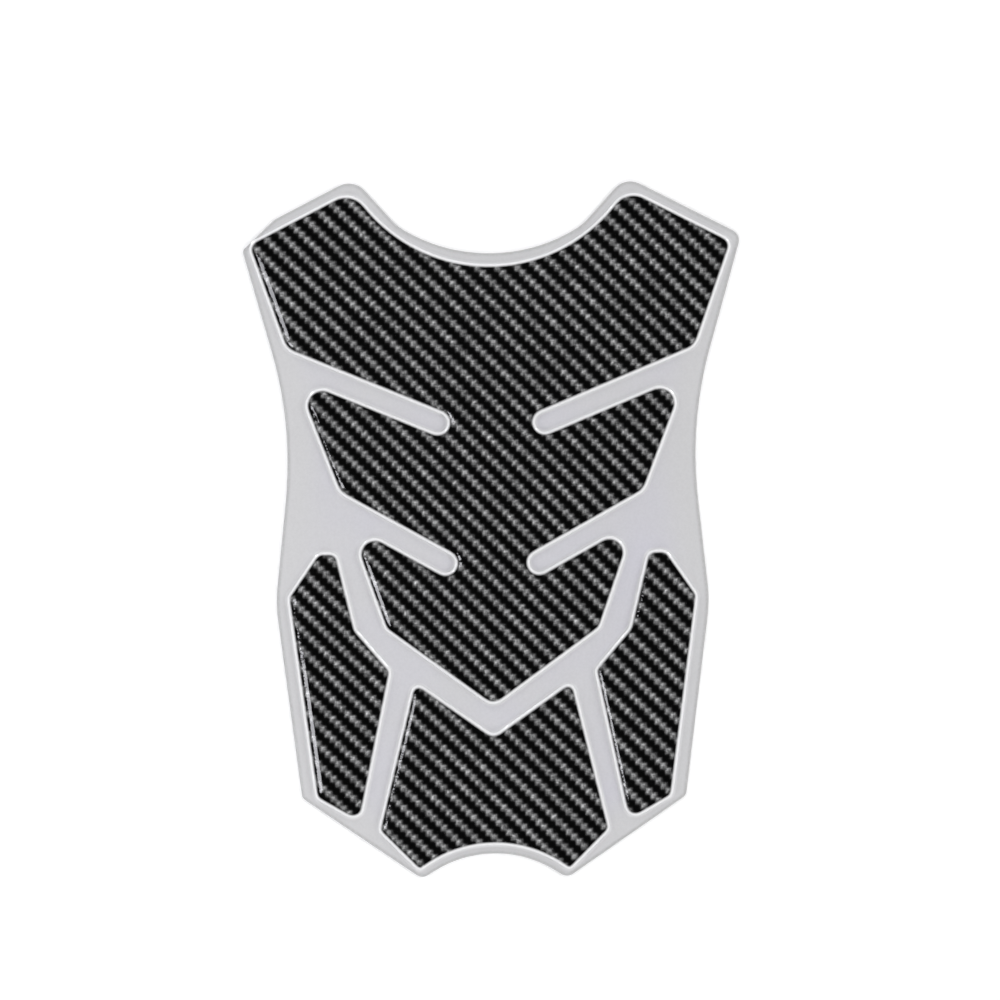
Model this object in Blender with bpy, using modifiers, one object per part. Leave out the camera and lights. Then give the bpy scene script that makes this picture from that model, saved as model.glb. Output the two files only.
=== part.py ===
# Stick-on protector pad for a motorcycle fuel tank: a flat film that carries four raised gel panels.
# Units are metres. The film's underside lies on Z = 0, +Y points to the pad's top and +X to its right.

import bpy
import bmesh
from math import atan2, ceil, cos, hypot, pi, radians, sin, sqrt, tan
from mathutils import Matrix

# Driving sizes of the pad
PAD_LENGTH = 0.200           # from the two top peaks to the two bottom tips
PAD_WIDTH = 0.1437           # over the shoulders
FILM_THICKNESS = 0.0005
BOND_GAP = 0.0003            # clearance between the film and the underside of a gel panel
GEL_HEIGHT = 0.0014          # from the underside of a gel panel to its flat top
GEL_RIM = 0.0008             # clear foot of the gel outside the printed field
GEL_EDGE_RADIUS = 0.0009     # rounding of a gel panel's top edge
GEL_EDGE_STEPS = 3
NOTCH_WIDTH = 0.0071         # between the printed fields on both sides of a notch
TRIM_SLOPE = radians(43.8)   # straight cut across the film's upper left corner
TRIM_MARGIN = 0.00015        # film left between that cut and the gel

# Carbon-look bands, which run down to the right across all four panels
BAND_PITCH = 0.00407
BAND_WIDTH = 0.00205
BAND_DEPTH = 0.00025
BAND_OFFSET = 0.0022         # from the pad's middle to the first light band
BAND_SLOPE = radians(-44.8)
BAR_LIFT = 0.2               # share of its depth that a band's cutting bar is centred above the gel

# How finely a rounding is divided
ARC_STEP = radians(6)
ARC_SAG = 0.00002            # most that a chord may lie inside its arc

# The outlines are drawn on a grid of GRID_WIDTH by GRID_LENGTH units, which the pad's width and
# length stretch to the real size. A corner is x, y and the radius of its rounding. A half outline
# runs clockwise down the right side, and its first and last corners lie on the middle line.
GRID_WIDTH = 143.7
GRID_LENGTH = 200.1

FILM_HALF = [
    (0.0, 72.0, 48.5),       # top scoop
    (26.6, 87.6, 14.0),      # where the scoop steepens
    (39.2, 101.6, 6.0),      # top peak
    (72.4, 84.6, 3.0),       # shoulder
    (57.1, 30.6, 115.0),     # waist
    (62.5, -20.9, 40.0),     # hip
    (55.3, -77.0, 1.5),      # lower outer corner
    (20.9, -100.5, 2.5),     # bottom tip
    (0.0, -87.3, 33.0),      # bottom scoop
]

# The main panel's printed field, in the three stretches that its two notches leave
MAIN_SHOULDERS = [
    (0.0, 47.1, 46.5),       # top scoop
    (39.6, 97.7, 6.5),       # top peak
    (69.2, 82.5, 2.5),       # shoulder
]
UPPER_NOTCH_END = (15.4, 30.9)
UPPER_NOTCH_MOUTH = [
    (58.6, 52.8, 5.0),       # lower corner of the shoulder
    (56.2, 43.8, 4.3),       # upper tip of the wing
]
LOWER_NOTCH_END = (13.5, -9.5)
LOWER_NOTCH_MOUTH = [
    (43.6, 11.3, 5.0),       # lower corner of the wing
    (41.0, 1.8, 4.0),        # upper tip of the fang
]
MAIN_POINT = [
    (30.5, -28.2, 2.5),      # lower corner of the fang
    (0.0, -50.4, 3.8),       # point of the V
]

SIDE_FIELD = [               # the whole right side panel
    (49.9, -6.7, 2.5),
    (58.5, -19.2, 1.5),
    (50.8, -76.7, 2.0),
    (38.9, -83.5, 2.6),
    (29.9, -40.6, 1.6),
    (39.9, -28.8, 3.0),
    (45.2, -6.9, 2.0),
]

LOWER_HALF = [
    (0.0, -60.1, 3.5),       # under the V
    (22.5, -44.2, 1.7),
    (32.8, -86.3, 1.5),
    (21.6, -97.5, 0.8),      # bottom tip
    (0.0, -82.5, 35.0),      # bottom scoop
]


def on_pad(corner):
    """A grid corner at its real place, with its real radius."""
    x, y, radius = corner
    unit = PAD_LENGTH / GRID_LENGTH
    return x * PAD_WIDTH / GRID_WIDTH, y * unit, radius * unit


def mirrored(corners):
    """The same corners on the other side of the middle line, still clockwise."""
    return [(-x, y, radius) for x, y, radius in reversed(corners)]


def both_sides(half):
    """A closed outline from its right half."""
    return half + mirrored(half[1:-1])


def turn_at(before, corner, after):
    """Heading along the side that reaches a corner, and the turn to the next side."""
    heading = atan2(corner[1] - before[1], corner[0] - before[0])
    leaving = atan2(after[1] - corner[1], after[0] - corner[0])
    return heading, (leaving - heading + pi) % (2 * pi) - pi


def neighbours(corners):
    """Each corner with the one before it and the one after it."""
    count = len(corners)
    return [(corners[i - 1], corners[i], corners[(i + 1) % count]) for i in range(count)]


def grown(corners, distance):
    """A clockwise outline with every side moved outwards."""
    result = []
    for before, corner, after in neighbours(corners):
        heading, turn = turn_at(before, corner, after)
        reach = distance / cos(turn / 2)
        outwards = heading + turn / 2 + pi / 2
        radius = corner[2] + distance if turn < 0 else corner[2] - distance
        result.append((corner[0] + reach * cos(outwards), corner[1] + reach * sin(outwards), radius))
    return result


def notch(end, mouth):
    """The four corners of a notch of NOTCH_WIDTH with a round end, from its upper to its lower lip."""
    upper, lower = mouth
    half = NOTCH_WIDTH / 2
    slope = atan2((upper[1] + lower[1]) / 2 - end[1], (upper[0] + lower[0]) / 2 - end[0])

    def lip(along, across, radius):
        x = end[0] + along * cos(slope) - across * sin(slope)
        y = end[1] + along * sin(slope) + across * cos(slope)
        return x, y, radius

    def length(corner):
        return (corner[0] - end[0]) * cos(slope) + (corner[1] - end[1]) * sin(slope)

    return [
        lip(length(upper), half, upper[2]),
        lip(-half, half, half),
        lip(-half, -half, half),
        lip(length(lower), -half, lower[2]),
    ]


def fillets(corners):
    """Centre, radius, heading and turn of each corner's rounding, which fits on its two sides."""
    around = neighbours(corners)
    turns = [turn_at(*three) for three in around]
    reaches = [corner[2] * tan(abs(turn) / 2) for corner, (_, turn) in zip(corners, turns)]
    sides = [hypot(after[0] - corner[0], after[1] - corner[1]) for _, corner, after in around]
    result = []
    for i, (x, y, radius) in enumerate(corners):
        heading, turn = turns[i]
        room_before = sides[i - 1] / (reaches[i - 1] + reaches[i])
        room_after = sides[i] / (reaches[i] + reaches[(i + 1) % len(corners)])
        fit = min(1.0, room_before, room_after)
        reach = fit * reaches[i]
        signed = fit * radius * (1 if turn > 0 else -1)
        centre_x = x - reach * cos(heading) - signed * sin(heading)
        centre_y = y - reach * sin(heading) + signed * cos(heading)
        result.append((centre_x, centre_y, signed, heading, turn))
    return result


def outline_points(corners):
    """Points round an outline, with an arc at each corner."""
    points = []
    for centre_x, centre_y, signed, heading, turn in fillets(corners):
        step = min(ARC_STEP, 2 * sqrt(2 * ARC_SAG / abs(signed)))
        count = max(1, ceil(abs(turn) / step))
        for i in range(count + 1):
            angle = heading + turn * i / count
            points.append((centre_x + signed * sin(angle), centre_y - signed * cos(angle)))
    return points


def make_material(name, colour, roughness):
    material = bpy.data.materials.new(name)
    material.use_nodes = True
    shader = material.node_tree.nodes["Principled BSDF"]
    shader.inputs["Base Color"].default_value = (*colour, 1.0)
    shader.inputs["Roughness"].default_value = roughness
    shader.inputs["Metallic"].default_value = 0.0
    return material


def plate(name, corners, bottom, thickness, material, collection):
    """A flat plate with the given outline, drawn as a filled curve and made a mesh."""
    curve = bpy.data.curves.new(name, "CURVE")
    curve.dimensions = "2D"
    curve.fill_mode = "BOTH"
    curve.extrude = thickness / 2
    points = outline_points(corners)
    spline = curve.splines.new("POLY")
    spline.points.add(len(points) - 1)
    for spline_point, (x, y) in zip(spline.points, points):
        spline_point.co = (x, y, 0.0, 1.0)
    spline.use_cyclic_u = True
    drawn = bpy.data.objects.new(name + "_outline", curve)
    drawn.location.z = bottom + thickness / 2
    collection.objects.link(drawn)

    depsgraph = bpy.context.evaluated_depsgraph_get()
    mesh = bpy.data.meshes.new_from_object(drawn.evaluated_get(depsgraph))
    mesh.name = name
    work = bmesh.new()
    work.from_mesh(mesh)
    bmesh.ops.remove_doubles(work, verts=work.verts, dist=thickness / 100)
    bmesh.ops.dissolve_limit(work, angle_limit=radians(0.5), verts=work.verts, edges=work.edges)
    bmesh.ops.recalc_face_normals(work, faces=work.faces)
    work.to_mesh(mesh)
    work.free()
    mesh.materials.clear()
    mesh.materials.append(material)
    mesh.shade_smooth()
    mesh.set_sharp_from_angle(angle=radians(30))

    piece = bpy.data.objects.new(name, mesh)
    piece.matrix_world = drawn.matrix_world.copy()
    collection.objects.link(piece)
    bpy.data.objects.remove(drawn)
    return piece


def round_top_edge(piece):
    """A rounded edge round the top face."""
    work = bmesh.new()
    work.from_mesh(piece.data)
    top = max(vertex.co.z for vertex in work.verts)
    weight = work.edges.layers.float.new("bevel_weight_edge")
    for edge in work.edges:
        edge[weight] = 1.0 if min(vertex.co.z for vertex in edge.verts) > top / 2 else 0.0
    work.to_mesh(piece.data)
    work.free()
    bevel = piece.modifiers.new("rounded top edge", "BEVEL")
    bevel.limit_method = "WEIGHT"
    bevel.offset_type = "OFFSET"
    bevel.width = GEL_EDGE_RADIUS
    bevel.segments = GEL_EDGE_STEPS


def cut(piece, cutter, name):
    """Cuts a piece, and gives the new faces the cutter's material."""
    boolean = piece.modifiers.new(name, "BOOLEAN")
    boolean.operation = "DIFFERENCE"
    boolean.solver = "EXACT"
    boolean.material_mode = "TRANSFER"
    boolean.object = cutter


def as_cutter(name, size, material, collection):
    """Makes the primitive just added, which is one unit large, a cutter of the given size."""
    cutter = bpy.context.object
    cutter.name = name
    cutter.data.transform(Matrix.Diagonal((*size, 1.0)))
    cutter.data.materials.append(material)
    cutter.hide_render = True
    cutter.display_type = "WIRE"
    for home in list(cutter.users_collection):
        home.objects.unlink(cutter)
    collection.objects.link(cutter)
    return cutter


def main_field():
    """The main panel's printed field."""
    upper = notch(on_pad((*UPPER_NOTCH_END, 0.0)), [on_pad(corner) for corner in UPPER_NOTCH_MOUTH])
    lower = notch(on_pad((*LOWER_NOTCH_END, 0.0)), [on_pad(corner) for corner in LOWER_NOTCH_MOUTH])
    shoulders = [on_pad(corner) for corner in MAIN_SHOULDERS]
    point = [on_pad(corner) for corner in MAIN_POINT]
    return both_sides(shoulders + upper + lower + point)


def make_film(main_foot, material, pieces, cutters):
    """The film, whose upper left corner is cut off straight just outside the main panel."""
    corners = both_sides([on_pad(corner) for corner in FILM_HALF])
    film = plate("base_film", corners, 0.0, FILM_THICKNESS, material, pieces)
    centre_x, centre_y, signed, _, _ = min(fillets(main_foot))
    side = PAD_WIDTH / 4
    bpy.ops.mesh.primitive_cube_add(size=1.0)
    trim = as_cutter("corner_trim", (side, side, 4 * FILM_THICKNESS), material, cutters)
    away = abs(signed) + TRIM_MARGIN + side / 2
    outwards = TRIM_SLOPE + pi / 2
    trim.location = (centre_x + away * cos(outwards), centre_y + away * sin(outwards), FILM_THICKNESS / 2)
    trim.rotation_euler.z = TRIM_SLOPE
    cut(film, trim, "trimmed corner")


def make_bands(top, material, cutters):
    """The row of four-sided bars that cut the light bands into the tops of the gel panels."""
    length = hypot(PAD_WIDTH, PAD_LENGTH)
    bpy.ops.mesh.primitive_cylinder_add(vertices=4, radius=0.5, depth=1.0)
    bpy.context.object.data.transform(Matrix.Rotation(pi / 2, 4, "Y"))
    grow = 1 + BAR_LIFT
    size = (length, grow * BAND_WIDTH, 2 * grow * BAND_DEPTH)
    bars = as_cutter("band_cutter", size, material, cutters)
    across = BAND_SLOPE + pi / 2
    below = ceil(length / 2 / BAND_PITCH)
    first = BAND_OFFSET - below * BAND_PITCH
    bars.location = (first * cos(across), first * sin(across), top + BAR_LIFT * BAND_DEPTH)
    bars.rotation_euler.z = BAND_SLOPE
    row = bars.modifiers.new("row of bands", "ARRAY")
    row.use_relative_offset = False
    row.use_constant_offset = True
    row.constant_offset_displace = (0.0, BAND_PITCH, 0.0)
    row.count = 2 * below
    return bars


def main():
    for old in list(bpy.data.objects):
        bpy.data.objects.remove(old)
    pieces = bpy.data.collections.new("tank_pad")
    cutters = bpy.data.collections.new("cutters")
    bpy.context.scene.collection.children.link(pieces)
    bpy.context.scene.collection.children.link(cutters)

    film_vinyl = make_material("film_vinyl", (0.61, 0.61, 0.63), 0.35)
    carbon_black = make_material("carbon_black", (0.006, 0.006, 0.007), 0.12)
    carbon_grey = make_material("carbon_grey", (0.17, 0.17, 0.17), 0.25)

    side_field = [on_pad(corner) for corner in SIDE_FIELD]
    fields = {
        "main_gel_panel": main_field(),
        "right_gel_panel": side_field,
        "left_gel_panel": mirrored(side_field),
        "lower_gel_panel": both_sides([on_pad(corner) for corner in LOWER_HALF]),
    }
    seat = FILM_THICKNESS + BOND_GAP
    bands = make_bands(seat + GEL_HEIGHT, carbon_grey, cutters)
    for name, field in fields.items():
        panel = plate(name, grown(field, GEL_RIM), seat, GEL_HEIGHT, carbon_black, pieces)
        round_top_edge(panel)
        cut(panel, bands, "light bands")
    make_film(grown(fields["main_gel_panel"], GEL_RIM), film_vinyl, pieces, cutters)


main()
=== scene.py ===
from math import atan2, cos, floor, pi, radians, sin

import bmesh
import bpy
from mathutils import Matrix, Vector
from mathutils.bvhtree import BVHTree
from mathutils.geometry import delaunay_2d_cdt


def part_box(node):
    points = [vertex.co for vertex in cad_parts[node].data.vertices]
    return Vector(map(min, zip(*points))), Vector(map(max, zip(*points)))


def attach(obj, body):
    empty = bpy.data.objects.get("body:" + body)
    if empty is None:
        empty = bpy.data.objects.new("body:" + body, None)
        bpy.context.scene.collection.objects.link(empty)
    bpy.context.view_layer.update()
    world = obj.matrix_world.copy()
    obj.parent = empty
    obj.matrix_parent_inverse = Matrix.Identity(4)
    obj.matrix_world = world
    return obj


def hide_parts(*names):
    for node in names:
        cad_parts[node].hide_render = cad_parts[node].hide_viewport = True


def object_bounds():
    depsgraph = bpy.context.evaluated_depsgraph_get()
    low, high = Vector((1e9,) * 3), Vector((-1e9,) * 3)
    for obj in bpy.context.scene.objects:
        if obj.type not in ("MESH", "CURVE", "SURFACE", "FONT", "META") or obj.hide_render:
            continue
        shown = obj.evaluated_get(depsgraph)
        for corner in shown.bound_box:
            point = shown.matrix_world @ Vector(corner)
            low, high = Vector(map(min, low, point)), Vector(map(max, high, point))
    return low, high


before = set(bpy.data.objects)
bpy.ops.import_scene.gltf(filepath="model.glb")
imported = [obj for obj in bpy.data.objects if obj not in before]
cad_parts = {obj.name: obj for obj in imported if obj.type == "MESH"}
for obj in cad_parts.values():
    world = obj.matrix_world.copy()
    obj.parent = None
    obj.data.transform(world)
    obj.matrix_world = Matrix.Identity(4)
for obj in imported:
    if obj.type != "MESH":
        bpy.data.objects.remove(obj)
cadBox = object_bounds()
mm = 0.001
black = (0.0, 0.0, 0.0, 1.0)
white = (1.0, 1.0, 1.0, 1.0)
print("tank pad: frame loaded")


# The camera looks straight down on the pad, as in the photograph

cameraValues = {
    "lens": 100.0,                                # this and the sensor in millimetres
    "sensor": 36.0,
    "clip": (10 * mm, 20.0),
    "pictureWidth": 288.03 * mm,                  # what the picture spans where the film lies
    "aim": (2.356 * mm, 8.562 * mm, 0.5 * mm),    # middle of the picture
    "turn": radians(-0.445),                      # the pad leans this little in the picture
}


def addCamera(values):
    data = bpy.data.cameras.new("straightAbove")
    data.lens = values["lens"]
    data.sensor_width = values["sensor"]
    data.clip_start, data.clip_end = values["clip"]
    camera = bpy.data.objects.new("straightAbove", data)
    height = values["pictureWidth"] * values["lens"] / values["sensor"]
    camera.location = Vector(values["aim"]) + Vector((0.0, 0.0, height))
    camera.rotation_euler.z = values["turn"]
    bpy.context.scene.collection.objects.link(camera)
    bpy.context.scene.camera = camera


addCamera(cameraValues)
print("tank pad: camera")


# Small helpers for node trees

# The socket of that name that is in use, where a node has one for each data type
def socketNamed(sockets, name):
    return next(socket for socket in sockets if socket.name == name and socket.enabled)


# Adds a node. Its inputs, by name or number, get a value or the link from another node's output
def addNode(tree, kind, inputs=None, **settings):
    node = tree.nodes.new(kind)
    for name, value in settings.items():
        setattr(node, name, value)
    for name, value in (inputs or {}).items():
        socket = node.inputs[name] if isinstance(name, int) else socketNamed(node.inputs, name)
        if isinstance(value, bpy.types.NodeSocket):
            tree.links.new(value, socket)
        else:
            socket.default_value = value
    return node


def calc(tree, operation, *values, clamp=False):
    inputs = dict(enumerate(values))
    return addNode(tree, "ShaderNodeMath", inputs, operation=operation, use_clamp=clamp).outputs[0]


# A smooth step from `low` to `high` while the value runs from `start` to `end`
def ramp(tree, value, start, end, low=0.0, high=1.0):
    inputs = {"Value": value, "From Min": start, "From Max": end, "To Min": low, "To Max": high}
    return addNode(tree, "ShaderNodeMapRange", inputs, interpolation_type="SMOOTHSTEP").outputs[0]


def newTree(name, kind, inputs, outputs):
    tree = bpy.data.node_groups.new(name, kind)
    for direction, sockets in (("INPUT", inputs), ("OUTPUT", outputs)):
        for socketName, socketType, value in sockets:
            socket = tree.interface.new_socket(socketName, in_out=direction, socket_type=socketType)
            if value is not None:
                socket.default_value = value
    return tree, tree.nodes.new("NodeGroupInput").outputs, tree.nodes.new("NodeGroupOutput").inputs


# Lays a tree's nodes out in columns, each to the right of the nodes that feed it
def layOut(tree):
    width, height = 220, 190
    column = {node.name: 0 for node in tree.nodes}
    for _ in tree.nodes:
        for link in tree.links:
            after = column[link.from_node.name] + 1
            column[link.to_node.name] = max(column[link.to_node.name], after)
    rows = {}
    for node in tree.nodes:
        place = column[node.name]
        node.location = (place * width, -rows.get(place, 0) * height)
        rows[place] = rows.get(place, 0) + 1


# Outlines and the flat meshes that fill them

weld = 0.001 * mm
sharpTurn = radians(25)      # a loop's corner that stays sharp
roundingPasses = 2           # for the loop's arcs
creaseAngle = radians(60)    # an edge of a surface that stays sharp


# Points round the underside of a CAD plate, in order and anticlockwise seen from above
def undersideLoop(nodeName):
    work = bmesh.new()
    work.from_mesh(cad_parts[nodeName].data)
    bmesh.ops.remove_doubles(work, verts=work.verts, dist=weld)
    lowest = min(vert.co.z for vert in work.verts)

    def isUnder(face):
        return all(vert.co.z - lowest < weld for vert in face.verts)

    beside = {}
    for edge in work.edges:
        if [isUnder(face) for face in edge.link_faces].count(True) == 1:
            for vert in edge.verts:
                beside.setdefault(vert, []).append(edge.other_vert(vert))
    first = next(iter(beside))
    loop = [first, beside[first][0]]
    while loop[-1] is not first:
        one, other = beside[loop[-1]]
        loop.append(other if one is loop[-2] else one)
    points = [vert.co.xy for vert in loop[:-1]]
    work.free()
    area = sum(a.x * b.y - b.x * a.y for a, b in zip(points, points[1:] + points[:1]))
    return points if area > 0 else points[::-1]


# The same loop with even steps; its sharp corners stay where they are and its arcs get smooth
def evenLoop(points, step):
    count = len(points)
    sides = [points[(i + 1) % count] - points[i] for i in range(count)]
    turns = [sides[i - 1].angle_signed(sides[i]) for i in range(count)]
    corners = [i for i in range(count) if abs(turns[i]) > sharpTurn] or [0]
    result = []
    fixed = set()
    for start, end in zip(corners, corners[1:] + [corners[0] + count]):
        stretch = [points[i % count] for i in range(start, end + 1)]
        lengths = [(b - a).length for a, b in zip(stretch, stretch[1:])]
        total = sum(lengths)
        parts = max(1, round(total / step))
        if len(corners) > 1:
            fixed.add(len(result))
        side, passed = 0, 0.0
        for i in range(parts):
            along = total * i / parts
            while passed + lengths[side] < along:
                passed += lengths[side]
                side += 1
            share = (along - passed) / lengths[side]
            result.append(stretch[side].lerp(stretch[side + 1], share))
    for _ in range(roundingPasses):
        before = [point.copy() for point in result]
        for i, point in enumerate(before):
            if i not in fixed:
                after = before[(i + 1) % len(before)]
                result[i] = (before[i - 1] + 2 * point + after) / 4
    return result


# Upright wall along the loop, to measure distances from it
def wallAlong(loop):
    count = len(loop)
    verts = [(p.x, p.y, z) for z in (-mm, mm) for p in loop]
    faces = [(i, (i + 1) % count, (i + 1) % count + count, i + count) for i in range(count)]
    return BVHTree.FromPolygons(verts, faces)


# Where a loop crosses a level line, from left to right
def crossings(loop, y):
    sides = zip(loop, loop[1:] + loop[:1])
    crossed = [(a, b) for a, b in sides if (a.y > y) != (b.y > y)]
    return sorted(a.x + (y - a.y) * (b.x - a.x) / (b.y - a.y) for a, b in crossed)


def isInside(loop, point):
    return sum(x < point.x for x in crossings(loop, point.y)) % 2 == 1


# Flat triangles between the points inside a loop, whose own points come first. They spread from
# the left of its sides, and don't cross them
def trianglesInside(loop, points):
    count = len(loop)
    border = [(i, (i + 1) % count) for i in range(count)]
    # Output type 0 keeps all the triangles
    verts, _, faces, _, _, _ = delaunay_2d_cdt(points, border, [], 0, weld / 100)
    sides = [list(zip(face, face[1:] + face[:1])) for face in faces]
    leftOf = {side: number for number, three in enumerate(sides) for side in three}
    inside = set()
    waiting = [leftOf[side] for side in border]
    while waiting:
        number = waiting.pop()
        if number not in inside:
            inside.add(number)
            waiting += [leftOf[b, a] for a, b in sides[number] if a >= count or b != (a + 1) % count]
    return verts, [faces[number] for number in sorted(inside)]


# Directions into a loop at its points
def inwardsOf(loop):
    sides = [loop[(i + 1) % len(loop)] - loop[i - 1] for i in range(len(loop))]
    return [Vector((-side.y, side.x)).normalized() for side in sides]


# Two flat sheets over the loop. The upper one has rows of points that follow it, rows outside any
# islands on it, then an even field of points. The lower one is its underside, with a single row
def fillLoop(name, loop, rows, step, staggered, islands=(), islandRows=()):
    wall = wallAlong(loop)
    count = len(loop)
    cell = 0.7 * step    # points of the even field keep this far from the others
    taken = {}
    points, underPoints = list(loop), list(loop)

    def distance(point):
        return wall.find_nearest((point.x, point.y, 0.0))[3]

    def isFree(point, room):
        x, y = floor(point.x / cell), floor(point.y / cell)
        near = [p for i in (-1, 0, 1) for j in (-1, 0, 1) for p in taken.get((x + i, y + j), ())]
        return all((point - p).length > room for p in near)

    def keep(point):
        points.append(point)
        taken.setdefault((floor(point.x / cell), floor(point.y / cell)), []).append(point)

    inwards = inwardsOf(loop)
    along = (loop[1] - loop[0]).length
    underRow = min(rows, key=lambda row: abs(row - along))
    for number, row in enumerate(rows):
        shifted = staggered and number % 2 == 0
        gap = row - rows[number - 1] if number else row
        for i in range(count):
            base, aim = loop[i], inwards[i]
            if shifted:
                base = (base + loop[(i + 1) % count]) / 2
                aim = (aim + inwards[(i + 1) % count]).normalized()
            point = base + row * aim
            # In tight corners a row leaves out what comes too near to the border or to its own points
            if distance(point) > 0.97 * row and isFree(point, 0.6 * min(along, cell, gap)):
                keep(point)
                if row == underRow:
                    underPoints.append(point)
    for island in islands:
        for row in islandRows:
            for base, aim in zip(island, inwardsOf(island)):
                point = base - row * aim
                inField = distance(point) > rows[-1] and isInside(loop, point)
                if inField and isFree(point, 0.9 * (islandRows[1] - islandRows[0])):
                    keep(point)

    lift = step * sin(pi / 3)
    lowest, highest = min(p.y for p in loop), max(p.y for p in loop)
    for line in range(int((highest - lowest) / lift)):
        y = lowest + (line + 0.5) * lift
        met = crossings(loop, y)
        for left, right in zip(met[::2], met[1::2]):
            shift = step / 2 if line % 2 else 0.0
            for i in range(floor((left - shift) / step) + 1, floor((right - shift) / step) + 1):
                point = Vector((i * step + shift, y))
                if distance(point) > rows[-1] + 0.5 * lift and isFree(point, cell):
                    keep(point)

    upper, upperFaces = trianglesInside(loop, points)
    lower, lowerFaces = trianglesInside(loop, underPoints)
    turned = [[len(upper) + i for i in reversed(face)] for face in lowerFaces]
    mesh = bpy.data.meshes.new(name)
    mesh.from_pydata([(p.x, p.y, 0.0) for p in upper + lower], [], upperFaces + turned)
    under = mesh.attributes.new("underside", "BOOLEAN", "FACE")
    under.data.foreach_set("value", [False] * len(upperFaces) + [True] * len(turned))
    piece = bpy.data.objects.new(name, mesh)
    bpy.context.scene.collection.objects.link(piece)
    return piece


# Geometry Nodes parts that the gel and the film share

# Keeps a value for each point under a name
def addStored(tree, geometry, name, value):
    inputs = {"Geometry": geometry, "Name": name, "Value": value}
    kind = "GeometryNodeStoreNamedAttribute"
    return addNode(tree, kind, inputs, data_type="FLOAT", domain="POINT").outputs[0]


def addNamed(tree, name, dataType="FLOAT"):
    node = addNode(tree, "GeometryNodeInputNamedAttribute", {"Name": name}, data_type=dataType)
    return socketNamed(node.outputs, "Attribute")


# Whether a face was made as part of the underside
def addIsUnder(tree):
    return addNamed(tree, "underside", "BOOLEAN")


# The upper and the lower sheet of a flat mesh
def addSheets(tree, geometry):
    inputs = {"Geometry": geometry, "Selection": addIsUnder(tree)}
    parts = addNode(tree, "GeometryNodeSeparateGeometry", inputs, domain="FACE").outputs
    return parts["Inverted"], parts["Selection"]


# How far each point is from the nearest edge of some geometry
def addNearness(tree, geometry):
    near = addNode(tree, "GeometryNodeProximity", {"Geometry": geometry}, target_element="EDGES")
    return near.outputs["Distance"]


# How far each point of a flat sheet is from its border
def addDistance(tree, flat):
    neighbours = addNode(tree, "GeometryNodeInputMeshEdgeNeighbors").outputs["Face Count"]
    inputs = {"A": neighbours, "B": 1}
    single = addNode(tree, "FunctionNodeCompare", inputs, data_type="INT", operation="EQUAL")
    inputs = {"Mesh": flat, "Selection": single.outputs["Result"]}
    border = addNode(tree, "GeometryNodeMeshToCurve", inputs).outputs["Curve"]
    line = addNode(tree, "GeometryNodeCurveToMesh", {"Curve": border}).outputs["Mesh"]
    return addNearness(tree, line)


def addLift(tree, geometry, height):
    offset = addNode(tree, "ShaderNodeCombineXYZ", {"Z": height}).outputs[0]
    return addNode(tree, "GeometryNodeSetPosition", {"Geometry": geometry, "Offset": offset}).outputs[0]


# How far the gentle waves of a surface dip
def addWaves(tree, given):
    position = addNode(tree, "GeometryNodeInputPosition").outputs[0]
    scale = calc(tree, "DIVIDE", 1.0, given["Wave Size"])
    inputs = {"Vector": position, "W": given["Seed"], "Scale": scale, "Detail": 1.0}
    noise = addNode(tree, "ShaderNodeTexNoise", inputs, noise_dimensions="4D").outputs["Fac"]
    return calc(tree, "MULTIPLY", noise, given["Wave Height"])


# Joins a raised sheet with its flat underside, and gives both their materials
def addUnderside(tree, top, under, level, topMaterial, underMaterial):
    both = addNode(tree, "GeometryNodeJoinGeometry")
    tree.links.new(top, both.inputs[0])
    tree.links.new(addLift(tree, under, level), both.inputs[0])
    inputs = {"Geometry": both.outputs[0], "Distance": weld}
    closed = addNode(tree, "GeometryNodeMergeByDistance", inputs).outputs[0]
    smooth = addNode(tree, "GeometryNodeSetShadeSmooth", {"Geometry": closed}, domain="FACE").outputs[0]
    angle = addNode(tree, "GeometryNodeInputMeshEdgeAngle").outputs["Unsigned Angle"]
    inputs = {"A": angle, "B": creaseAngle}
    steep = addNode(tree, "FunctionNodeCompare", inputs, operation="GREATER_THAN").outputs[0]
    inputs = {"Geometry": smooth, "Selection": steep, "Shade Smooth": False}
    creased = addNode(tree, "GeometryNodeSetShadeSmooth", inputs, domain="EDGE").outputs[0]
    plain = addNode(tree, "GeometryNodeRealizeInstances", {"Geometry": creased}).outputs[0]
    inputs = {"Geometry": plain, "Material": topMaterial}
    dressed = addNode(tree, "GeometryNodeSetMaterial", inputs).outputs[0]
    inputs = {"Geometry": dressed, "Selection": addIsUnder(tree), "Material": underMaterial}
    return addNode(tree, "GeometryNodeSetMaterial", inputs).outputs[0]


# Puts a tree on a piece, sets its inputs and turns the result into a plain mesh
def shapeWith(piece, tree, values):
    modifier = piece.modifiers.new(tree.name, "NODES")
    modifier.node_group = tree
    for item in tree.interface.items_tree:
        if item.in_out == "INPUT" and item.name in values:
            modifier[item.identifier] = values[item.name]
    depsgraph = bpy.context.evaluated_depsgraph_get()
    shaped = bpy.data.meshes.new_from_object(
        piece.evaluated_get(depsgraph), preserve_all_data_layers=True, depsgraph=depsgraph
    )
    flat = piece.data
    piece.modifiers.clear()
    piece.data = shaped
    shaped.name = piece.name
    bpy.data.meshes.remove(flat)


# Shader groups for what several materials show

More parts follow.
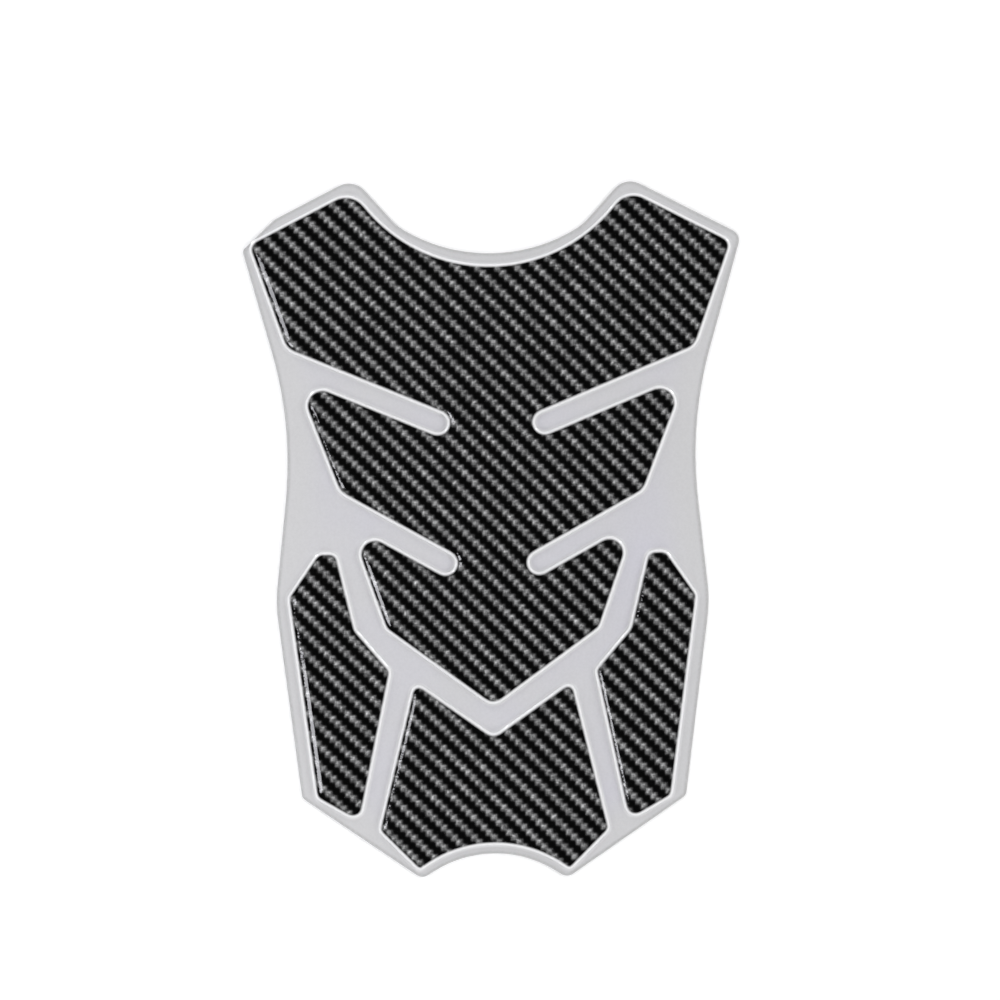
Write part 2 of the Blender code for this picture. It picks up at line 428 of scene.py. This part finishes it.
# Soft patches of two sizes and a fine grain, each from 0 to 1
def makeSurfaceNoise():
    tree, given, result = newTree(
        "surfaceNoise",
        "ShaderNodeTree",
        [
            ("Vector", "NodeSocketVector", None),
            ("Patch Size", "NodeSocketFloat", 20 * mm),
            ("Grain Size", "NodeSocketFloat", 0.3 * mm),
        ],
        [("Patches", "NodeSocketFloat", None), ("Grain", "NodeSocketFloat", None)],
    )
    for name, size, detail in (("Patches", "Patch Size", 2.0), ("Grain", "Grain Size", 1.0)):
        scale = calc(tree, "DIVIDE", 1.0, given[size])
        inputs = {"Vector": given["Vector"], "Scale": scale, "Detail": detail}
        noise = addNode(tree, "ShaderNodeTexNoise", inputs).outputs["Fac"]
        tree.links.new(calc(tree, "MULTIPLY_ADD", noise, 2.0, -0.5, clamp=True), result[name])
    layOut(tree)
    return tree


# Two-by-two twill as it is printed: light bands of beads between dark bands. The bands run up to
# the left; widths are shares of the band's pitch
def makeCarbonWeave():
    tree, given, result = newTree(
        "carbonWeave",
        "ShaderNodeTree",
        [
            ("Vector", "NodeSocketVector", None),
            ("Band Pitch", "NodeSocketFloat", 4.059 * mm),
            ("Bead Pitch", "NodeSocketFloat", 2.0345 * mm),
            ("Band Turn", "NodeSocketFloat", radians(45.2)),
            ("Bead Turn", "NodeSocketFloat", radians(-44.9)),
            ("Band Shift", "NodeSocketFloat", 0.0),
            ("Bead Shift", "NodeSocketFloat", 0.0),
            ("Band Width", "NodeSocketFloat", 0.214),
            ("Bead Bulge", "NodeSocketFloat", 0.068),
            ("Softness", "NodeSocketFloat", 0.188),
            ("Bead Shade", "NodeSocketFloat", 0.435),
            ("Bead Swing", "NodeSocketFloat", 0.104),
            ("Ground Shade", "NodeSocketFloat", 0.045),
            ("Bead Variation", "NodeSocketFloat", 0.1),
            ("Thread Pitch", "NodeSocketFloat", 0.5 * mm),
            ("Thread Contrast", "NodeSocketFloat", 0.1),
        ],
        [("Shade", "NodeSocketFloat", None)],
    )

    # How far the point is along a direction, in pitches
    def along(turn, shift, pitch):
        inputs = {"X": calc(tree, "COSINE", given[turn]), "Y": calc(tree, "SINE", given[turn])}
        heading = addNode(tree, "ShaderNodeCombineXYZ", inputs).outputs[0]
        inputs = {0: given["Vector"], 1: heading}
        reach = addNode(tree, "ShaderNodeVectorMath", inputs, operation="DOT_PRODUCT").outputs["Value"]
        return calc(tree, "DIVIDE", calc(tree, "SUBTRACT", reach, given[shift]), given[pitch])

    # Threads along the axis whose scale is below 1. They go from -1 to 1
    def threadsAlong(scales):
        inputs = {0: given["Vector"], 1: scales}
        drawn = addNode(tree, "ShaderNodeVectorMath", inputs, operation="MULTIPLY").outputs["Vector"]
        scale = calc(tree, "DIVIDE", 1.0, given["Thread Pitch"])
        inputs = {"Vector": drawn, "Scale": scale, "Detail": 0.0}
        noise = addNode(tree, "ShaderNodeTexNoise", inputs).outputs["Fac"]
        return calc(tree, "MULTIPLY_ADD", noise, 4.0, -2.0)

    band = along("Band Turn", "Band Shift", "Band Pitch")
    bead = along("Bead Turn", "Bead Shift", "Bead Pitch")
    aside = calc(tree, "ABSOLUTE", calc(tree, "SUBTRACT", band, calc(tree, "ROUND", band)))
    phase = calc(tree, "MULTIPLY", bead, 2 * pi)

    # A bead is widest a quarter of its length behind its brightest place, which makes an arrowhead
    bulge = calc(tree, "SINE", phase)
    width = calc(tree, "MULTIPLY_ADD", bulge, given["Bead Bulge"], given["Band Width"])
    outer = calc(tree, "ADD", width, given["Softness"])
    inner = calc(tree, "SUBTRACT", width, given["Softness"])
    profile = ramp(tree, aside, inner, outer, 1.0, 0.0)
    swing = calc(tree, "COSINE", phase)
    strength = calc(tree, "MULTIPLY_ADD", swing, given["Bead Swing"], given["Bead Shade"])

    # Each bead is a little lighter or darker than the next
    inputs = {"X": calc(tree, "ROUND", band), "Y": calc(tree, "FLOOR", bead)}
    cell = addNode(tree, "ShaderNodeCombineXYZ", inputs).outputs[0]
    dice = addNode(tree, "ShaderNodeTexWhiteNoise", {"Vector": cell}, noise_dimensions="2D")
    chance = calc(tree, "MULTIPLY_ADD", dice.outputs["Value"], 2.0, -1.0)
    uneven = calc(tree, "MULTIPLY_ADD", chance, given["Bead Variation"], 1.0)

    # Fine threads cross each other in the beads. Lengthwise they change at this share of the rate
    share = 0.4
    threads = calc(tree, "ADD", threadsAlong((1.0, share, 1.0)), threadsAlong((share, 1.0, 1.0)))
    threads = calc(tree, "MULTIPLY_ADD", threads, given["Thread Contrast"], 1.0)

    shade = calc(tree, "MULTIPLY", calc(tree, "MULTIPLY", strength, profile), uneven)
    shade = calc(tree, "ADD", shade, given["Ground Shade"])
    shade = calc(tree, "MULTIPLY", shade, threads, clamp=True)
    tree.links.new(shade, result["Shade"])
    layOut(tree)
    return tree


screenGamma = 2.2    # the weave's shades are given as they look on a screen
surfaceNoise = makeSurfaceNoise()
carbonWeave = makeCarbonWeave()
print("tank pad: shader groups")


def newMaterial(name):
    material = bpy.data.materials.new(name)
    material.use_nodes = True
    return material, material.node_tree, material.node_tree.nodes["Principled BSDF"]


def addGroup(tree, group, inputs):
    return addNode(tree, "ShaderNodeGroup", inputs, node_tree=group).outputs


def mixColours(tree, factor, first, second):
    inputs = {"Factor": factor, "A": first, "B": second}
    return socketNamed(addNode(tree, "ShaderNodeMix", inputs, data_type="RGBA").outputs, "Result")


# Object coordinates, and the noise on them in the sizes of a finish
def addSurface(tree, values):
    place = addNode(tree, "ShaderNodeTexCoord").outputs["Object"]
    inputs = {"Vector": place, "Patch Size": values["patchSize"], "Grain Size": values["grainSize"]}
    return place, addGroup(tree, surfaceNoise, inputs)


def addRoughness(tree, shader, patches, values):
    rough = calc(tree, "MULTIPLY_ADD", patches, values["roughPatches"], values["roughness"])
    tree.links.new(rough, shader.inputs["Roughness"])


def addRelief(tree, shader, relief, values):
    inputs = {"Height": relief, "Strength": values["reliefStrength"], "Distance": values["reliefDepth"]}
    bump = addNode(tree, "ShaderNodeBump", inputs)
    tree.links.new(bump.outputs["Normal"], shader.inputs["Normal"])


# A distance that the piece's mesh keeps for each point
def addKept(tree, name):
    return addNode(tree, "ShaderNodeAttribute", attribute_name=name).outputs["Fac"]


# The four gel panels

gelValues = {
    "sink": 0.04 * mm,             # the foot starts this far below the film's top
    "meshPitch": 0.5 * mm,
    "rows": 6,
    "capillaryLength": 1.7 * mm,   # how far the rounding of the edge reaches in
    "eveningSteps": 20,
    "settlingSteps": 60,
    "waveHeight": 0.02 * mm,
    "waveSize": 9 * mm,
    "seed": 3.0,
}
gelPieces = {
    "main_gel_panel": "mainGelPanel",
    "left_gel_panel": "leftGelPanel",
    "right_gel_panel": "rightGelPanel",
    "lower_gel_panel": "lowerGelPanel",
}

printValues = {
    "clearRim": 0.8 * mm,                       # clear foot of the gel round the print
    "rimBlend": 0.85 * mm,
    # the clear foot is painted near-white: a painted highlight where its rounded edge catches light
    "rimHighlightColour": (0.785, 0.785, 0.79, 1.0),
    "footHighlightColour": (0.73, 0.73, 0.735, 1.0),     # painted highlight, dimmer at the very foot next to the film
    "footFade": 0.5 * mm,
    "footWander": 0.15 * mm,                    # how far the grain moves the foot's border
    "keyline": 0.8,                             # the print's shade beside its rim, as a share
    "keylineWidth": 1.2 * mm,
    "bandShift": 2.182 * mm,
    "beadShift": 0.934 * mm,
    "beadVariation": 0.12,
    "threadContrast": 0.15,
    "threadPitch": 0.4 * mm,
    "tint": white,
    "patchSize": 12 * mm,
    "grainSize": 0.8 * mm,
    "ior": 1.5,
    "roughness": 0.05,
    "roughPatches": 0.03,
    "rippleFrom": 1.3 * mm,                     # fine ripples at the foot fade from here
    "rippleTo": 2.6 * mm,
    "rippleRest": 0.05,                         # to this share of their height
    "reliefStrength": 0.6,
    "reliefDepth": 0.04 * mm,
}


# A poured gel that its surface tension draws into a dome: a point sags below the full height by
# the mean of its neighbours' sag, less what the gel's weight levels out, and its foot stays put
def makePouredGel():
    tree, given, result = newTree(
        "pouredGel",
        "GeometryNodeTree",
        [
            ("Geometry", "NodeSocketGeometry", None),
            ("Foot Level", "NodeSocketFloat", 0.46 * mm),
            ("Gel Height", "NodeSocketFloat", 1.7 * mm),
            ("Capillary Length", "NodeSocketFloat", 1.84 * mm),
            ("Mesh Pitch", "NodeSocketFloat", 0.5 * mm),
            ("Evening Steps", "NodeSocketInt", 20),
            ("Settling Steps", "NodeSocketInt", 60),
            ("Wave Height", "NodeSocketFloat", 0.02 * mm),
            ("Wave Size", "NodeSocketFloat", 9 * mm),
            ("Seed", "NodeSocketFloat", 0.0),
            ("Material", "NodeSocketMaterial", None),
        ],
        [("Geometry", "NodeSocketGeometry", None)],
    )
    flat, under = addSheets(tree, given["Geometry"])
    distance = addDistance(tree, flat)
    free = calc(tree, "GREATER_THAN", distance, weld)

    # Evens out the flat mesh
    position = addNode(tree, "GeometryNodeInputPosition").outputs[0]
    inputs = {"Value": position, "Iterations": given["Evening Steps"], "Weight": free}
    evened = addNode(tree, "GeometryNodeBlurAttribute", inputs, data_type="FLOAT_VECTOR")
    inputs = {"Geometry": flat, "Position": socketNamed(evened.outputs, "Value")}
    flat = addNode(tree, "GeometryNodeSetPosition", inputs).outputs[0]
    flat = addStored(tree, flat, "footDistance", distance)

    # First guess of the sag
    reach = calc(tree, "DIVIDE", distance, given["Capillary Length"])
    fall = calc(tree, "EXPONENT", calc(tree, "MULTIPLY", reach, -1.0))
    guess = calc(tree, "MULTIPLY", given["Gel Height"], fall)
    flat = addStored(tree, flat, "sag", guess)

    # Settles. Between even triangles the neighbours' mean exceeds a point's own value by the
    # curvature times a quarter of the pitch squared
    begin = addNode(tree, "GeometryNodeRepeatInput")
    end = addNode(tree, "GeometryNodeRepeatOutput")
    begin.pair_with_output(end)
    tree.links.new(given["Settling Steps"], begin.inputs["Iterations"])
    tree.links.new(flat, begin.inputs["Geometry"])
    loose = calc(tree, "GREATER_THAN", addNamed(tree, "footDistance"), weld)
    inputs = {"Value": addNamed(tree, "sag"), "Iterations": 1, "Weight": loose}
    blurred = addNode(tree, "GeometryNodeBlurAttribute", inputs)
    ratio = calc(tree, "DIVIDE", given["Mesh Pitch"], given["Capillary Length"])
    levelling = calc(tree, "MULTIPLY_ADD", calc(tree, "MULTIPLY", ratio, ratio), 0.25, 1.0)
    share = calc(tree, "DIVIDE", 1.0, calc(tree, "POWER", levelling, loose))
    settled = calc(tree, "MULTIPLY", blurred.outputs["Value"], share)
    tree.links.new(addStored(tree, begin.outputs["Geometry"], "sag", settled), end.inputs["Geometry"])

    # Raises the gel, with waves that fade towards its foot
    rise = calc(tree, "SUBTRACT", given["Gel Height"], addNamed(tree, "sag"))
    fade = calc(tree, "DIVIDE", rise, given["Gel Height"])
    dip = calc(tree, "MULTIPLY", addWaves(tree, given), fade)
    height = calc(tree, "SUBTRACT", calc(tree, "ADD", given["Foot Level"], rise), dip)
    top = addLift(tree, end.outputs["Geometry"], height)
    closed = addUnderside(tree, top, under, given["Foot Level"], given["Material"], given["Material"])
    tree.links.new(closed, result["Geometry"])
    layOut(tree)
    return tree


# Black and grey carbon print under glossy gel, with the gel's clear foot round it painted near-white as
# a painted highlight
def makeCarbonGel(values):
    material, tree, shader = newMaterial("carbonGel")
    place, noise = addSurface(tree, values)
    foot = addKept(tree, "footDistance")
    shade = addGroup(tree, carbonWeave, {
        "Vector": place,
        "Band Shift": values["bandShift"],
        "Bead Shift": values["beadShift"],
        "Bead Variation": values["beadVariation"],
        "Thread Pitch": values["threadPitch"],
        "Thread Contrast": values["threadContrast"],
    })["Shade"]
    rim = values["clearRim"]
    bordered = ramp(tree, foot, rim, rim + values["keylineWidth"], values["keyline"], 1.0)
    linear = calc(tree, "POWER", calc(tree, "MULTIPLY", shade, bordered), screenGamma)
    printed = mixColours(tree, linear, black, values["tint"])
    blend = values["rimBlend"] / 2
    inPrint = ramp(tree, foot, rim - blend, rim + blend)
    wandering = calc(tree, "MULTIPLY_ADD", noise["Grain"], -values["footWander"], foot)
    faded = ramp(tree, wandering, 0.0, values["footFade"])
    # Painted highlight on the clear foot: near-white, fading to a dimmer painted highlight right at the
    # foot
    clear = mixColours(tree, faded, values["footHighlightColour"], values["rimHighlightColour"])
    colour = mixColours(tree, inPrint, clear, printed)
    tree.links.new(colour, shader.inputs["Base Color"])
    addRoughness(tree, shader, noise["Patches"], values)
    ripples = ramp(tree, foot, values["rippleFrom"], values["rippleTo"], 1.0, values["rippleRest"])
    addRelief(tree, shader, calc(tree, "MULTIPLY", noise["Grain"], ripples), values)
    shader.inputs["IOR"].default_value = values["ior"]
    layOut(tree)
    return material


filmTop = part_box("base_film")[1].z
gelTop = cadBox[1].z
pouredGel = makePouredGel()
carbonGel = makeCarbonGel(printValues)


def makeGelPanel(node, name, loop, values):
    pitch = values["meshPitch"]
    rows = [number * pitch * sin(pi / 3) for number in range(1, values["rows"] + 1)]
    panel = fillLoop(name, loop, rows, pitch, True)
    footLevel = filmTop - values["sink"]
    shapeWith(panel, pouredGel, {
        "Foot Level": footLevel,
        "Gel Height": gelTop - footLevel,
        "Capillary Length": values["capillaryLength"],
        "Mesh Pitch": pitch,
        "Evening Steps": values["eveningSteps"],
        "Settling Steps": values["settlingSteps"],
        "Wave Height": values["waveHeight"],
        "Wave Size": values["waveSize"],
        "Seed": values["seed"],
        "Material": carbonGel,
    })
    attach(panel, "root")
    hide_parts(node)
    return panel


gelLoops = {node: evenLoop(undersideLoop(node), gelValues["meshPitch"]) for node in gelPieces}
for node, name in gelPieces.items():
    panel = makeGelPanel(node, name, gelLoops[node], gelValues)
    print("tank pad:", name, len(panel.data.polygons), "faces")


# The film

filmValues = {
    "edgeStep": 0.6 * mm,
    "rows": (0.03, 0.1, 0.2, 0.35, 0.55, 0.8, 1.2),    # mm from the edge
    "gelRows": (0.0, 0.35, 0.7, 1.1, 1.6),             # mm from the gel
    "meshPitch": 1.4 * mm,
    "rollWidth": 0.5 * mm,         # the top rounds down to the cut edge over this width
    "waveHeight": 0.03 * mm,
    "waveSize": 18 * mm,
    "seed": 8.0,
}
vinylValues = {
    "colour": (0.622, 0.62, 0.626, 1.0),
    "coolColour": (0.608, 0.602, 0.648, 1.0),    # away from the edge
    "coolFrom": 3.0 * mm,
    "coolTo": 14.0 * mm,
    # painted shade along the film's rounded cut edge
    "edgeShadeColour": (0.46, 0.46, 0.46, 1.0),
    "edgeShadeFrom": 0.33 * mm,                       # the painted shade of the rounded cut edge fades from here
    "edgeShadeTo": 1.54 * mm,
    "haloColour": (0.75, 0.748, 0.756, 1.0),     # next to the gel, which throws light on it
    "haloWidth": 0.9 * mm,
    "patchSize": 30 * mm,
    "grainSize": 0.7 * mm,
    "grain": 0.05,                               # how dark the grain is
    "edgeShadeWander": 0.4 * mm,                      # how far the grain moves the border of the painted edge shade
    "ior": 1.46,
    "roughness": 0.38,
    "roughPatches": 0.08,
    "reliefStrength": 0.2,
    "reliefDepth": 0.02 * mm,
}
adhesiveValues = {
    "colour": (0.56, 0.56, 0.54, 1.0),
    "cellColour": (0.64, 0.64, 0.62, 1.0),
    "cellPitch": 1.6 * mm,
    "cellDisorder": 0.25,
    "borderFrom": 0.02,          # a cell's border, in shares of the pitch
    "borderTo": 0.12,
    "patchSize": 25 * mm,
    "grainSize": 0.5 * mm,
    "roughness": 0.5,
    "roughPatches": 0.15,
    "reliefStrength": 0.3,
    "reliefDepth": 0.03 * mm,
}


# A sheet whose top rounds down to its cut edge
def makeFilmSheet():
    tree, given, result = newTree(
        "filmSheet",
        "GeometryNodeTree",
        [
            ("Geometry", "NodeSocketGeometry", None),
            ("Thickness", "NodeSocketFloat", 0.5 * mm),
            ("Roll Width", "NodeSocketFloat", 0.5 * mm),
            ("Wave Height", "NodeSocketFloat", 0.03 * mm),
            ("Wave Size", "NodeSocketFloat", 18 * mm),
            ("Seed", "NodeSocketFloat", 0.0),
            ("Gel Outlines", "NodeSocketObject", None),
            ("Top Material", "NodeSocketMaterial", None),
            ("Underside Material", "NodeSocketMaterial", None),
        ],
        [("Geometry", "NodeSocketGeometry", None)],
    )
    flat, under = addSheets(tree, given["Geometry"])
    distance = addDistance(tree, flat)
    flat = addStored(tree, flat, "edgeDistance", distance)
    outlines = addNode(tree, "GeometryNodeObjectInfo", {"Object": given["Gel Outlines"]})
    flat = addStored(tree, flat, "gelDistance", addNearness(tree, outlines.outputs["Geometry"]))
    depth = calc(tree, "SUBTRACT", 1.0, calc(tree, "DIVIDE", distance, given["Roll Width"]), clamp=True)
    rounding = calc(tree, "SQRT", calc(tree, "SUBTRACT", 1.0, calc(tree, "MULTIPLY", depth, depth)))
    crown = calc(tree, "SUBTRACT", given["Thickness"], addWaves(tree, given))
    top = addLift(tree, flat, calc(tree, "MULTIPLY", crown, rounding))
    closed = addUnderside(tree, top, under, 0.0, given["Top Material"], given["Underside Material"])
    tree.links.new(closed, result["Geometry"])
    layOut(tree)
    return tree


def makeFilmVinyl(values):
    material, tree, shader = newMaterial("filmVinyl")
    _, noise = addSurface(tree, values)
    edge = addKept(tree, "edgeDistance")
    inner = ramp(tree, edge, values["coolFrom"], values["coolTo"])
    cool = calc(tree, "MULTIPLY", inner, noise["Patches"])
    colour = mixColours(tree, cool, values["colour"], values["coolColour"])
    speckle = calc(tree, "MULTIPLY", noise["Grain"], values["grain"])
    colour = mixColours(tree, speckle, colour, black)
    halo = ramp(tree, addKept(tree, "gelDistance"), 0.0, values["haloWidth"], 1.0, 0.0)
    colour = mixColours(tree, halo, colour, values["haloColour"])
    # Painted shade along the film's rounded cut edge, darker towards the edge
    grainy = calc(tree, "MULTIPLY_ADD", noise["Grain"], values["edgeShadeWander"], edge)
    dark = ramp(tree, grainy, values["edgeShadeFrom"], values["edgeShadeTo"], 1.0, 0.0)
    colour = mixColours(tree, dark, colour, values["edgeShadeColour"])
    tree.links.new(colour, shader.inputs["Base Color"])
    addRoughness(tree, shader, noise["Patches"], values)
    addRelief(tree, shader, noise["Grain"], values)
    shader.inputs["IOR"].default_value = values["ior"]
    layOut(tree)
    return material


# Clear adhesive with the fine cells that its release paper leaves
def makeAdhesive(values):
    material, tree, shader = newMaterial("adhesiveBack")
    place, noise = addSurface(tree, values)
    scale = 1.0 / values["cellPitch"]
    inputs = {"Vector": place, "Scale": scale, "Randomness": values["cellDisorder"]}
    cells = addNode(tree, "ShaderNodeTexVoronoi", inputs, feature="DISTANCE_TO_EDGE")
    body = ramp(tree, cells.outputs["Distance"], values["borderFrom"], values["borderTo"])
    colour = mixColours(tree, body, values["colour"], values["cellColour"])
    tree.links.new(colour, shader.inputs["Base Color"])
    addRoughness(tree, shader, noise["Patches"], values)
    addRelief(tree, shader, calc(tree, "ADD", body, noise["Grain"]), values)
    layOut(tree)
    return material


# The gel's outlines as a wire, for the film to measure its distance from them
def makeGelOutlines():
    verts, edges = [], []
    for loop in gelLoops.values():
        first, count = len(verts), len(loop)
        verts += [(point.x, point.y, 0.0) for point in loop]
        edges += [(first + i, first + (i + 1) % count) for i in range(count)]
    mesh = bpy.data.meshes.new("gelOutlines")
    mesh.from_pydata(verts, edges, [])
    wire = bpy.data.objects.new("gelOutlines", mesh)
    bpy.context.scene.collection.objects.link(wire)
    return wire


def makeFilm(values):
    loop = evenLoop(undersideLoop("base_film"), values["edgeStep"])
    rows = [row * mm for row in values["rows"]]
    gelRows = [row * mm for row in values["gelRows"]]
    sheet = fillLoop("filmSheet", loop, rows, values["meshPitch"], False, gelLoops.values(), gelRows)
    outlines = makeGelOutlines()
    shapeWith(sheet, makeFilmSheet(), {
        "Thickness": filmTop,
        "Roll Width": values["rollWidth"],
        "Wave Height": values["waveHeight"],
        "Wave Size": values["waveSize"],
        "Seed": values["seed"],
        "Gel Outlines": outlines,
        "Top Material": makeFilmVinyl(vinylValues),
        "Underside Material": makeAdhesive(adhesiveValues),
    })
    bpy.data.meshes.remove(outlines.data)
    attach(sheet, "root")
    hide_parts("base_film")
    return sheet


sheet = makeFilm(filmValues)
print("tank pad: filmSheet", len(sheet.data.polygons), "faces")


# Floor with an upturned wall round it, white for the camera and in reflections

stageValues = {
    "floorLevel": -0.05 * mm,
    "floorRadius": 1.6,
    "wallRadius": 2.2,
    "wallHeight": 1.0,
    "wallSteps": 12,
    "turnSteps": 96,
    "colour": (0.86, 0.86, 0.86, 1.0),
    "roughness": 0.9,
    "glow": 0.2,             # what the camera and reflections see on top of the light, near the pad
    "farGlow": 1.0,          # and away from it
    "glowFrom": 0.25,        # metres from the middle
    "glowTo": 0.7,
}


def addStage(values):
    profile = [(0.0, 0.0), (values["floorRadius"], 0.0)]
    rise = values["wallRadius"] - values["floorRadius"]
    for i in range(1, values["wallSteps"] + 1):
        angle = pi / 2 * i / values["wallSteps"]
        out, up = rise * sin(angle), values["wallHeight"] * (1 - cos(angle))
        profile.append((values["floorRadius"] + out, up))
    work = bmesh.new()
    verts = [work.verts.new((r, 0.0, z + values["floorLevel"])) for r, z in profile]
    edges = [work.edges.new(pair) for pair in zip(verts, verts[1:])]
    bmesh.ops.spin(
        work, geom=verts + edges, cent=(0, 0, 0), axis=(0, 0, 1), angle=2 * pi,
        steps=values["turnSteps"], use_merge=True,
    )
    bmesh.ops.remove_doubles(work, verts=work.verts, dist=weld)
    bmesh.ops.recalc_face_normals(work, faces=work.faces)
    if sum(face.normal.z for face in work.faces) < 0:
        bmesh.ops.reverse_faces(work, faces=work.faces)
    mesh = bpy.data.meshes.new("studioFloor")
    work.to_mesh(mesh)
    work.free()
    mesh.shade_smooth()

    material, tree, shader = newMaterial("studioWhite")
    rays = addNode(tree, "ShaderNodeLightPath").outputs
    seen = calc(tree, "MAXIMUM", rays["Is Camera Ray"], rays["Is Glossy Ray"])
    seen = calc(tree, "MAXIMUM", seen, rays["Is Transmission Ray"])
    place = addNode(tree, "ShaderNodeTexCoord").outputs["Object"]
    away = addNode(tree, "ShaderNodeVectorMath", {0: place}, operation="LENGTH").outputs["Value"]
    glow = ramp(tree, away, values["glowFrom"], values["glowTo"], values["glow"], values["farGlow"])
    glow = calc(tree, "MULTIPLY", seen, glow)
    shader.inputs["Base Color"].default_value = values["colour"]
    shader.inputs["Roughness"].default_value = values["roughness"]
    shader.inputs["Specular IOR Level"].default_value = 0.0
    shader.inputs["Emission Color"].default_value = white
    tree.links.new(glow, shader.inputs["Emission Strength"])
    layOut(tree)
    mesh.materials.append(material)
    ground = bpy.data.objects.new("studioFloor", mesh)
    bpy.context.scene.collection.objects.link(ground)


addStage(stageValues)


# Studio light: two small softboxes on the left glint along the left edges of the gel, two low ones
# behind the pad glint in its rims, and four soft panels all round light the colours evenly. Straight
# above it stays dark, so the gel looks black

lightValues = {
    "world": 0.04,
    # places, aims and sizes are in metres, powers in watts. A lamp without an aim faces the origin
    "glints": {
        "lowerLeftGlint": {
            "place": (-0.43, -0.187, 0.55), "aim": (0.0, -0.187), "size": (0.19, 0.145), "power": 1.0,
        },
        "upperLeftGlint": {"place": (-0.43, 0.0, 0.55), "size": (0.19, 0.095), "power": 0.56},
        "backRightGlint": {"place": (0.67, 0.57, 0.12), "size": (0.15, 0.2), "power": 1.0},
        "backLeftGlint": {"place": (-0.62, 0.62, 0.12), "size": (0.15, 0.2), "power": 1.0},
    },
    "glintColour": (0.95, 0.95, 1.0),
    "panels": {
        "rightPanel": {"place": (1.16, 0.0, 0.47), "size": (0.3, 1.0), "power": 10.2},
        "farPanel": {"place": (0.0, 1.16, 0.47), "size": (0.3, 1.0), "power": 7.7},
        "leftPanel": {"place": (-1.16, 0.0, 0.47), "size": (0.3, 1.0), "power": 5.8},
        "nearPanel": {"place": (0.0, -1.16, 0.47), "size": (0.3, 1.0), "power": 8.7},
    },
    "panelColour": (1.0, 1.0, 1.0),
}


def addSoftbox(name, lamp, colour, inReflections):
    data = bpy.data.lights.new(name, "AREA")
    data.shape = "RECTANGLE"
    data.size, data.size_y = lamp["size"]
    data.energy = lamp["power"]
    data.color = colour
    box = bpy.data.objects.new(name, data)
    x, y, z = lamp["place"]
    box.location = (x, y, z)
    aimX, aimY = lamp.get("aim", (0.0, 0.0))
    away = Vector((x - aimX, y - aimY))
    box.rotation_euler = (0.0, atan2(away.length, z), atan2(away.y, away.x))
    box.visible_camera = False
    box.visible_glossy = inReflections
    bpy.context.scene.collection.objects.link(box)


for name, lamp in lightValues["glints"].items():
    addSoftbox(name, lamp, lightValues["glintColour"], True)
# The panels' reflections would wash the gel out in low views
for name, lamp in lightValues["panels"].items():
    addSoftbox(name, lamp, lightValues["panelColour"], False)

world = bpy.data.worlds.new("dimStudio")
world.use_nodes = True
background = world.node_tree.nodes["Background"]
background.inputs["Color"].default_value = white
background.inputs["Strength"].default_value = lightValues["world"]
bpy.context.scene.world = world
bpy.context.scene.view_settings.view_transform = "Standard"
print("tank pad: stage and light")
